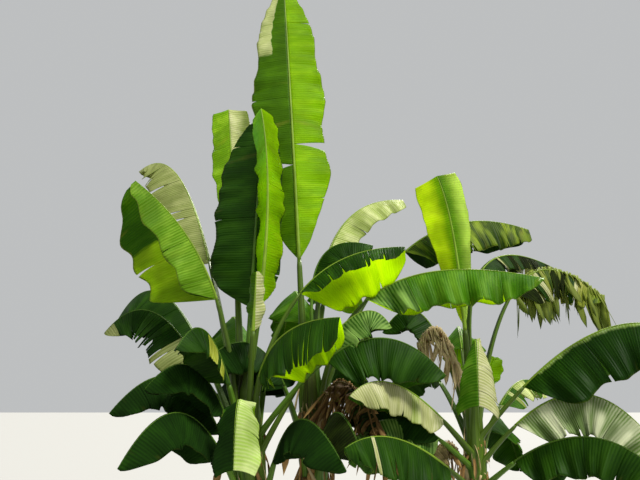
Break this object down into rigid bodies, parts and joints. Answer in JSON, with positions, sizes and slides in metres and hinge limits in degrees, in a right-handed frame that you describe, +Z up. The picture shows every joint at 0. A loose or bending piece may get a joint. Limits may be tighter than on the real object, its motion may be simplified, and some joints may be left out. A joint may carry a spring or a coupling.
{
  "type": "banana plant",
  "caption": "Clump-forming banana plant: leaning false stems on one root with upright, arching, torn and dead broad leaves.",
  "frame": {"origin": "ground level at the middle of the main stem's flat cut", "axes": "+Z up; -Y towards the side that the picture shows; +X to the right seen from there"},
  "size_m": [3.0433, 1.6269, 4.3918],
  "materials": {
    "stem": "smooth overlapping green sheaths with brown dry strips, satin",
    "leaf_green": "mid-green ribbed leaf, satin, with fine cross veins",
    "leaf_deep": "deep green ribbed leaf, satin",
    "leaf_bright": "yellow-green young leaf that lets light through, satin",
    "leaf_pale": "pale green leaf with a whitish bloom and darker veins, soft satin",
    "leaf_dry": "torn, yellowing to dry brown leaf, matt"
  },
  "bodies": {
    "root": {"stem_main": "stem", "stem_left": "stem", "stem_right": "stem", "leaf_tall": "leaf_bright", "leaf_shade": "leaf_deep", "leaf_bright": "leaf_bright", "leaf_behind": "leaf_pale", "leaf_young": "leaf_pale", "leaf_stand": "leaf_bright", "leaf_left": "leaf_green", "leaf_left_back": "leaf_pale", "leaf_sunlit": "leaf_bright", "leaf_front": "leaf_green", "leaf_dark_arch": "leaf_deep", "leaf_yellow": "leaf_dry", "leaf_mid_left": "leaf_deep", "leaf_left_low_back": "leaf_deep", "leaf_shadow_upper": "leaf_deep", "leaf_shadow_lower": "leaf_deep", "leaf_hanging": "leaf_green", "leaf_ribbed_middle": "leaf_green", "leaf_back_sunlit": "leaf_deep", "leaf_right_back": "leaf_pale", "leaf_long": "leaf_green", "leaf_upper_right": "leaf_green", "leaf_dead_middle": "leaf_dry", "leaf_back_high": "leaf_green", "leaf_back_middle": "leaf_green", "leaf_back_low": "leaf_deep", "leaf_back_left": "leaf_green", "leaf_back_left_low": "leaf_deep", "leaf_torn": "leaf_dry", "leaf_torn_back": "leaf_pale", "leaf_broad": "leaf_deep", "leaf_striped": "leaf_pale", "leaf_low_right": "leaf_deep", "leaf_bent": "leaf_pale", "leaf_pale": "leaf_pale", "leaf_ribbed_low": "leaf_deep", "leaf_low_left": "leaf_green", "leaf_behind_long": "leaf_deep", "leaf_dead": "leaf_dry", "leaf_small": "leaf_bright", "leaf_torn_low_back": "leaf_pale", "leaf_dead_low": "leaf_dry", "leaf_back_right_high": "leaf_green", "leaf_back_right_middle": "leaf_deep", "leaf_back_right_low": "leaf_deep", "leaf_shadow_middle": "leaf_deep", "leaf_shadow_front": "leaf_deep", "leaf_shadow_inner": "leaf_deep", "leaf_shadow_left": "leaf_deep", "leaf_shadow_back": "leaf_deep", "leaf_shadow_right": "leaf_deep", "leaf_shadow_low": "leaf_deep"}
  },
  "joints": []
}
